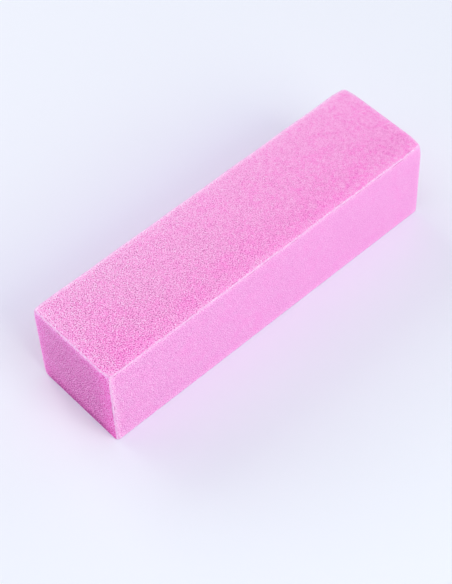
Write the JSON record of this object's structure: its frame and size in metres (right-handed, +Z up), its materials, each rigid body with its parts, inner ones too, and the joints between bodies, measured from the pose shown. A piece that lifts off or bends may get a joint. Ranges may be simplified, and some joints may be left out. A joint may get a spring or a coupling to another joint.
{
  "type": "nail buffer block",
  "caption": "Rectangular pink foam nail buffer with rounded arrises and a fine abrasive coat bonded to every face; a hand tool for smoothing nails.",
  "frame": {"origin": "middle of the underside, in the plane that the block rests on", "axes": "+X along the bar from its left end to its right end, +Z up, and the front long face looks along -Y"},
  "size_m": [0.095, 0.0258, 0.0242],
  "materials": {
    "foam": "matte",
    "bond_resin": "satin",
    "abrasive_grit": "matte"
  },
  "bodies": {
    "root": {"foam_core": "foam", "top_bond_coat": "bond_resin", "bottom_bond_coat": "bond_resin", "front_bond_coat": "bond_resin", "back_bond_coat": "bond_resin", "left_end_bond_coat": "bond_resin", "right_end_bond_coat": "bond_resin", "top_abrasive_coat": "abrasive_grit", "bottom_abrasive_coat": "abrasive_grit", "front_abrasive_coat": "abrasive_grit", "back_abrasive_coat": "abrasive_grit", "left_end_abrasive_coat": "abrasive_grit", "right_end_abrasive_coat": "abrasive_grit"}
  },
  "joints": []
}
